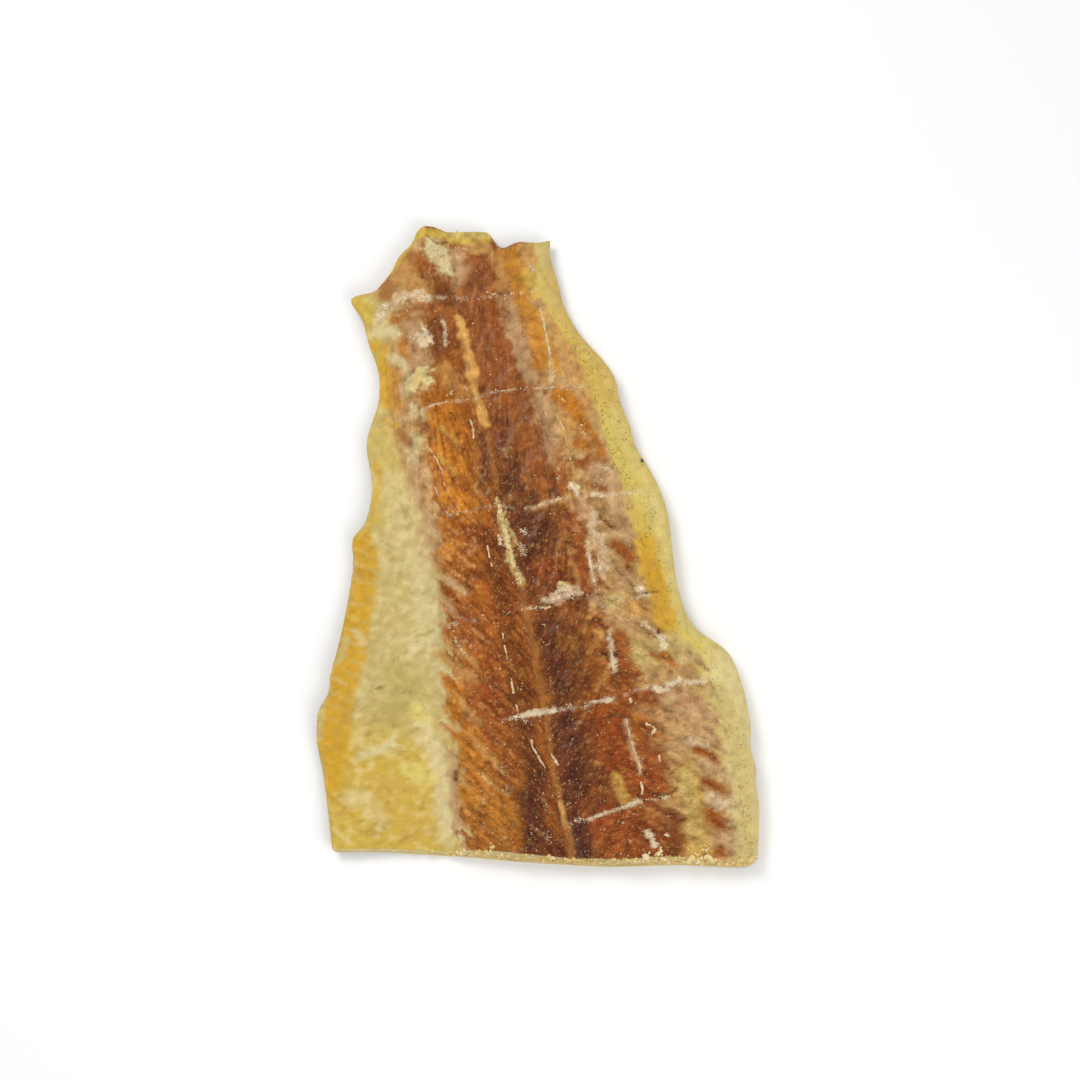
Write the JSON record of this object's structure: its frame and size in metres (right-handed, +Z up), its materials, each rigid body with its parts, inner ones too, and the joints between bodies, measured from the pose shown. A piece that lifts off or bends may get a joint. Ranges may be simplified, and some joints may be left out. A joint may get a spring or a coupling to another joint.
{
  "type": "salted dried cod piece",
  "caption": "Flat tapering piece of split, salted and dried cod, flesh side up, with a thin pale belly flap, amber flesh, a rounded pale rim and one sawn end.",
  "frame": {"origin": "middle of the bounding box, on the resting plane under the skin side", "axes": "+X across the fish from the belly flap to the back, +Y along the fish towards the torn tail end, +Z up, out of the flesh side"},
  "size_m": [0.1699, 0.2543, 0.0123],
  "materials": {
    "dried_flesh": "waxy to slightly glossy dried fish flesh with salt specks, amber to brown, cream at the flap and rim",
    "fish_skin": "dry matt grey-olive fish skin with fine scale marks, on the underside",
    "salt": "off-white crystalline salt grains and crumbs"
  },
  "bodies": {
    "root": {"cod_piece": "dried_flesh"}
  },
  "joints": []
}
